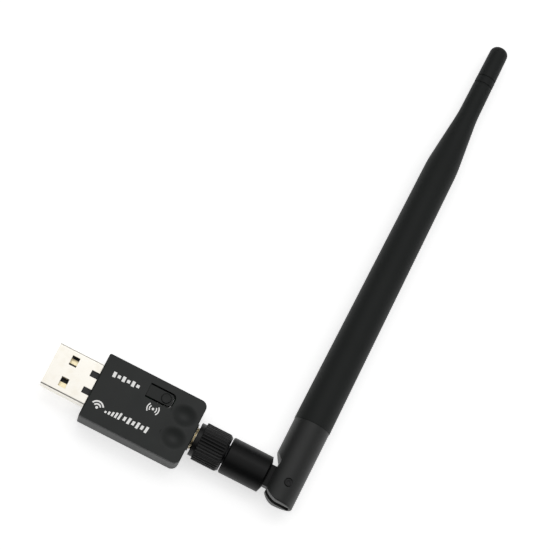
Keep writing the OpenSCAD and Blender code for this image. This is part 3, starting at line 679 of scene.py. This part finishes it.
def profile_object(points):
    mesh = bpy.data.meshes.new("profile")
    chain = [(i, i + 1) for i in range(len(points) - 1)]
    mesh.from_pydata([(p.x * MM, p.y * MM, 0) for p in points], chain, [])
    obj = bpy.data.objects.new("profile", mesh)
    bpy.context.scene.collection.objects.link(obj)
    return obj


def turned(name, points, around, material, place, cuts=()):
    """Turns a profile, runs the cutting trees on it, and puts the result in its place."""
    profile = profile_object(points)
    piece = new_piece(name, bpy.data.meshes.new(name))
    run_tree(piece, turned_profile, Profile=profile, Around=around, Material=material)
    for tree, inputs in cuts:
        run_tree(piece, tree, Material=material, **inputs)
    mesh = applied(piece)
    bpy.data.objects.remove(profile)
    bm = bmesh.new()
    bm.from_mesh(mesh)
    bmesh.ops.remove_doubles(bm, verts=bm.verts, dist=0.0005 * MM)
    bmesh.ops.recalc_face_normals(bm, faces=bm.faces)
    bm.to_mesh(mesh)
    bm.free()
    mesh.transform(place)
    shade_by_angle(mesh, 35)
    print(name, "faces:", len(mesh.polygons))
    return piece


# %% [markdown]
# ## The grip nut and the jack
# The stations along the connector come from the CAD boxes; the small steps between them are the
# CAD's own sizes, repeated here. The jack's thread is wound for its whole length, although less
# than one turn shows at rest, because all of it comes into view when the antenna is unscrewed.

# %% Grip nut
AXIS_Z = -0.5
on_connector = Matrix.Translation((0, 0, AXIS_Z * MM))
nut_x0, nut_x1 = (corner.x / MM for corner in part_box("coupling_nut"))
insert_x0, insert_x1 = (corner.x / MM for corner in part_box("nut_insert"))
NUT_R, COLLAR_R, COLLAR_L, BEVEL_L, BEVEL_D = 5.25, 4.6, 1.3, 0.75, 0.6
RIBS = 36
nut_profile = rounded([
    (nut_x0, 3.45, 0.1), (nut_x0, COLLAR_R, 0.18), (nut_x0 + COLLAR_L, COLLAR_R, 0.08),
    (nut_x0 + COLLAR_L, NUT_R, 0.16), (nut_x1 - BEVEL_L, NUT_R, 0.3), (nut_x1, NUT_R - BEVEL_D, 0.16),
    (nut_x1, 2.8, 0.1), (insert_x1, 2.8, 0), (insert_x1, 4.0, 0), (insert_x0, 4.0, 0),
    (insert_x0, 3.45, 0)], closed=True)
nut_profile = denser(nut_profile, nut_x0 + COLLAR_L, nut_x1, 0.4)
grip = turned("ribbed_grip_nut", nut_profile, RIBS * 10, grip_finish, on_connector,
              [(ribbed_grip, dict(Ribs=RIBS, Depth=0.26 * MM, Full_Radius=NUT_R * MM,
                                  From_Start=(nut_x0 + COLLAR_L - 0.05) * MM,
                                  To_End=(nut_x1 + 0.05) * MM, Inner_Limit=COLLAR_R * MM * 0.97))])
finished(grip, "nut", None, "nut_plastic", "coupling_nut")

# %% Threaded jack
jack_x0, jack_x1 = (corner.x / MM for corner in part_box("antenna_jack"))
FLANGE_L, LEG_L = 1.7, 4.0
flange_x0 = jack_x0 + LEG_L
wall_x = flange_x0 + FLANGE_L
boss_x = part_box("case_bottom")[1].x / MM
THREAD_R, NECK_R, FLANGE_R, PITCH = 3.15, 3.2, 3.3, 25.4 / 36
ref_x = jack_x1 - 2.0
jack_profile = rounded([
    (flange_x0, 2.05, 0), (flange_x0, FLANGE_R, 0.1), (wall_x, FLANGE_R, 0), (wall_x, NECK_R, 0),
    (boss_x + 0.1, NECK_R, 0.05), (boss_x + 0.12, THREAD_R, 0), (jack_x1, THREAD_R, 0.25),
    (jack_x1, 2.35, 0.05), (ref_x, 2.35, 0), (ref_x, 2.05, 0)], closed=True)
jack_profile = denser(jack_profile, boss_x + 0.12, jack_x1, PITCH / 12)
jack = turned("threaded_jack", jack_profile, 96, brass, on_connector,
              [(screw_thread, dict(Pitch=PITCH * MM, Depth=0.36 * MM, From_Start=(boss_x + 0.05) * MM,
                                   To_End=(jack_x1 + 0.2) * MM, Run_Out=0.15 * MM,
                                   Inner_Limit=2.6 * MM))])


# %% [markdown]
# The jack also has four legs that clip over the edge of the circuit board. They are plain bars, so a
# helper joins a few bevelled bars to the turned body.


# %% Legs of the jack
def add_bars(piece, bars, bevel):
    """Joins bevelled bars, each given as two corners in millimetres, to a piece."""
    bm = bmesh.new()
    for low, high in bars:
        made = bmesh.ops.create_cube(bm, size=1)["verts"]
        for v in made:
            v.co = [lo + (hi - lo) * (c + 0.5) for lo, hi, c in zip(low, high, v.co)]
            v.co *= MM
    bmesh.ops.bevel(bm, geom=bm.edges[:], offset=bevel * MM, segments=2, affect="EDGES", profile=0.5)
    bm.from_mesh(piece.data)
    bm.to_mesh(piece.data)
    bm.free()
    shade_by_angle(piece.data, 35)


board_low, board_high = (corner.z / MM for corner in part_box("circuit_board"))
legs = []
for side in (-1, 1):
    y0, y1 = sorted((side * 2.1, side * 3.1))
    legs.append(((jack_x0, y0, board_high), (flange_x0 + 0.1, y1, board_high + 1.2)))
    legs.append(((jack_x0, y0, board_low - 1.0), (flange_x0 + 0.1, y1, board_low)))
add_bars(jack, legs, 0.08)
finished(jack, "adapter", brass, "jack_gold", "antenna_jack")

# %% [markdown]
# ## The barrel, the hinge and the antenna's base
# These are solid mouldings with a flat tongue, a slot and a rounded end. Their shapes come from
# the CAD model, and again only the edges need softening.

# %% Barrel and base
softened("swivel_barrel", 0.16, "barrel", barrel_finish, "barrel_plastic", "swivel_barrel_soft")
softened("antenna_base", 0.20, "antenna", base_finish, "base_plastic", "antenna_base_soft")
softened("hinge_pins", 0.12, "antenna", pin_finish, "pin_plastic", "hinge_pins_soft")

# %% [markdown]
# ## The antenna's cover and cap
# The cover is a long tube that keeps its width for most of its length, then narrows over a soft
# shoulder to a neck. Its outside is a profile of a few numbers, and the shoulder is a straight
# slope with rounded ends, so it is turned with the same tree as the grip.

# %% Cover tube
cover_y0, cover_y1 = (corner.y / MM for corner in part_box("radome"))
cap_y1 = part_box("tip_cap")[1].y / MM
ROOT_R, SHOULDER_R, COVER_NECK_R, END_R = 5.1, 4.4, 2.7, 2.6
antenna_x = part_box("radome")[1].x / MM - ROOT_R
turn_to_y = Matrix.Translation((antenna_x * MM, 0, AXIS_Z * MM)) @ Matrix.Rotation(math.pi / 2, 4, "Z")
NECK_L, SHOULDER_L = 7.4, 20.0
neck_y = cover_y1 - NECK_L
shoulder_y = neck_y - SHOULDER_L


def ramp(t, a=0.2):
    """From 0 to 1 in a straight slope whose two ends are rounded, each over the share a."""
    if t < a:
        return t * t / (2 * a * (1 - a))
    if t < 1 - a:
        return (t - a / 2) / (1 - a)
    return 1 - (1 - t) ** 2 / (2 * a * (1 - a))


shoulder = [(shoulder_y + SHOULDER_L * i / 24, SHOULDER_R + (COVER_NECK_R - SHOULDER_R) * ramp(i / 24), 0)
            for i in range(25)]
body_line = [(cover_y0 + (shoulder_y - cover_y0) * i / 24,
              ROOT_R + (SHOULDER_R - ROOT_R) * i / 24, 0) for i in range(1, 24)]
cover_profile = rounded(
    [(cover_y0, 4.05, 0), (cover_y0, ROOT_R, 0.18)] + body_line + shoulder
    + [(cover_y1, END_R, 0.2), (cover_y1, 1.72, 0), (shoulder_y + 10, 1.72, 0), (shoulder_y - 2, 3.56, 0),
       (cover_y0 + 5.1, 3.56, 0), (cover_y0 + 5.1, 4.05, 0)], closed=True)
cover = turned("antenna_cover", cover_profile, 96, cover_finish, turn_to_y)
finished(cover, "antenna", None, "radome_rubbery", "radome")

# %% [markdown]
# The cap at the tip is a plug with a rounded end and two fine grooves round it, which show on the
# real antenna as two dark rings. Its profile starts and ends on the axis, and merging by distance
# closes the two poles.

# %% Tip cap
RING = 0.2
cap_r = END_R - 0.03
ring_y0 = cover_y1 + 0.3
ring_y1 = ring_y0 + 1.75
END_ROUND = 2.0
cap_profile = rounded(
    [(cover_y1 - 5, 0, 0), (cover_y1 - 5, 1.68, 0.2), (cover_y1 + 0.01, 1.68, 0),
     (cover_y1 + 0.01, cap_r - RING, 0), (ring_y0, cap_r - RING, 0), (ring_y0, cap_r + 0.03, 0.08),
     (ring_y1, cap_r + 0.03, 0.08), (ring_y1, cap_r - RING, 0), (ring_y1 + 0.35, cap_r - RING, 0),
     (ring_y1 + 0.35, cap_r, 0.08)]
    + [(cap_y1 - END_ROUND + END_ROUND * math.sin(a), cap_r - 0.1 - END_ROUND * (1 - math.cos(a)), 0)
       for a in (math.pi / 2 * i / 12 for i in range(12))]
    + [(cap_y1, cap_r - 0.1 - END_ROUND, 0.2), (cap_y1, 0, 0)], closed=False)
cap = turned("antenna_cap", cap_profile, 96, cap_finish, turn_to_y)
finished(cap, "antenna", None, "radome_rubbery", "tip_cap")

# %% [markdown]
# ## Printed marks
# The cover carries white printing: a wide mark along one side, a smaller one across from it, and a
# small one beside the button. Here they are plain signs with no letters: radio waves, rising signal
# bars and rows of dots. Each is a real film of ink two hundredths of a millimetre thick.


# %% Mark shapes
INK_T, INK_ROOT = 0.02, 0.005


def outline_bar(x, y, width, height, slant=0.0):
    return [(x - slant * height / 2, y - height / 2), (x + width - slant * height / 2, y - height / 2),
            (x + width + slant * height / 2, y + height / 2), (x + slant * height / 2, y + height / 2)]


def outline_arc(x, y, radius, width, start, end, steps=20):
    angles = [math.radians(start + (end - start) * k / steps) for k in range(steps + 1)]
    outer = [(x + (radius + width / 2) * math.cos(a), y + (radius + width / 2) * math.sin(a)) for a in angles]
    inner = [(x + (radius - width / 2) * math.cos(a), y + (radius - width / 2) * math.sin(a)) for a in angles]
    return outer + inner[::-1]


def outline_dot(x, y, radius, steps=20):
    return [(x + radius * math.cos(math.tau * k / steps), y + radius * math.sin(math.tau * k / steps))
            for k in range(steps)]


def printed(name, outlines):
    """A film of ink on the cover from flat outlines in millimetres, its root a little below the top."""
    bm = bmesh.new()
    for outline in outlines:
        face = bm.faces.new([bm.verts.new((x * MM, y * MM, (TOP_Z - INK_ROOT) * MM)) for x, y in outline])
        face.normal_update()
        if face.normal.z > 0:
            face.normal_flip()
        raised = bmesh.ops.extrude_face_region(bm, geom=[face])["geom"]
        bmesh.ops.translate(bm, vec=(0, 0, (INK_T + INK_ROOT) * MM),
                            verts=[g for g in raised if isinstance(g, bmesh.types.BMVert)])
    bmesh.ops.recalc_face_normals(bm, faces=bm.faces)
    mesh = bpy.data.meshes.new(name)
    bm.to_mesh(mesh)
    bm.free()
    return finished(new_piece(name, mesh), "adapter", white_ink, None)


# %% Print the marks
WIDE_Y, SMALL_Y, BUTTON_MARK_Y = -4.5, 4.6, 1.1
wide = [outline_dot(3.3, WIDE_Y - 0.75, 0.36)]
wide += [outline_arc(3.3, WIDE_Y - 0.75, r, 0.42, 25, 155) for r in (0.95, 1.7)]
wide += [outline_bar(5.6 + 0.95 * k, WIDE_Y - 1.05 + (0.55 + 0.34 * k) / 2, 0.55, 0.55 + 0.34 * k, 0.12)
         for k in range(5)]
wide += [outline_bar(10.7 + 1.26 * k, WIDE_Y - 0.1, 0.72, 1.75 if k % 2 else 1.15, 0.12) for k in range(6)]
printed("wide_mark", wide)
small = [outline_bar(3.1 + 1.35 * k, SMALL_Y, 0.85, 1.5 if k % 2 == 0 else 0.85) for k in range(6)]
printed("small_mark", small)
pair = [outline_dot(16.4, BUTTON_MARK_Y, 0.34)]
for middle in (0, 180):
    pair += [outline_arc(16.4, BUTTON_MARK_Y, r, 0.3, middle - 42, middle + 42) for r in (0.95, 1.6)]
printed("button_mark", pair)

# %% [markdown]
# ## The pieces inside
# Nothing inside shows while the case is closed, but the parts are there and each has its finish, so
# that the object can be opened or shown in section.

# %% Finishes for the inner nodes
inner_finish = {
    "circuit_board": board_green, "radio_chip": chip_finish, "crystal_can": steel,
    "power_inductor": chip_finish, "voltage_regulator": chip_finish, "chip_capacitors": ceramic,
    "switch_base": chip_finish, "switch_frame": steel, "switch_plunger": ivory,
    "jack_insulator": insulator_white, "jack_pin": gold, "nut_insert": brass, "snap_ring": steel,
    "plug_ferrule": dark_nickel, "plug_insulator": insulator_white, "plug_socket": gold,
    "coax_crimp": steel, "lead_coax": jacket, "whip_coax": jacket, "dipole_sleeve": brass,
    "radiator": copper, "foam_spacer": foam,
}
for node, finish in inner_finish.items():
    nodes[node].data.materials.clear()
    nodes[node].data.materials.append(finish)
print("inner nodes:", len(inner_finish))

# %% [markdown]
# ## The stage
# The object lies on a plain pale floor. A wide soft light hangs above and a little towards +Y, where
# it draws a long highlight down the antenna and along the barrel. A weaker one stands low on the +X
# side for the second, fainter streak. The world glows overhead and is dark near the horizon, so that
# rounded edges end in a dark line, as they do inside a tent of white cloth. The camera itself sees
# plain white, and the floor glows a little, so that it stays as pale as the world behind it.


# %% Floor and lights
def softbox(name, place_at, aim_at, width, height, power):
    light = bpy.data.lights.new(name, "AREA")
    light.shape = "RECTANGLE"
    light.size, light.size_y, light.energy = width, height, power
    obj = bpy.data.objects.new(name, light)
    bpy.context.scene.collection.objects.link(obj)
    obj.location = place_at
    towards = Vector(aim_at) - Vector(place_at)
    obj.rotation_euler = towards.to_track_quat("-Z", "Y").to_euler()


FLOOR_GAP = 0.05 * MM
floor_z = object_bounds()[0].z - FLOOR_GAP
bpy.ops.mesh.primitive_plane_add(size=6, location=(0, 0, floor_z))
floor = bpy.context.active_object
floor.name = "floor"
floor_finish, net, shader, _ = new_finish("floor_paper")
feed(net, shader, Base_Color=(0.85, 0.85, 0.85, 1), Roughness=0.9, Emission_Color=(1, 1, 1, 1),
     Emission_Strength=0.62)
floor.data.materials.append(floor_finish)

centre = (0.03, 0.05, 0)
softbox("overhead", (0.03, 0.26, 0.62), centre, 0.50, 0.16, 0.30)
softbox("side", (0.75, 0.15, 0.22), centre, 0.35, 0.3, 0.35)

DOME_AXIS = (0.0, 0.25, 0.968)
world = bpy.data.worlds.new("world")
bpy.context.scene.world = world
world.use_nodes = True
net = Net(world.node_tree)
sky = world.node_tree.nodes["Background"]
towards = net.node("ShaderNodeTexCoord")["Generated"]
height = net.node("ShaderNodeVectorMath", {"operation": "DOT_PRODUCT"}, {0: towards, 1: DOME_AXIS})["Value"]
shown = net.node("ShaderNodeLightPath")["Is Camera Ray"]
glow = net.mix(net.smooth(height, 0.40, 0.98), (0.03, 0.03, 0.03, 1), (0.90, 0.90, 0.90, 1))
world.node_tree.links.new(net.mix(shown, glow, (1, 1, 1, 1)).socket, sky.inputs["Color"])
sky.inputs["Strength"].default_value = 1.0
bpy.context.scene.view_settings.view_transform = "Standard"
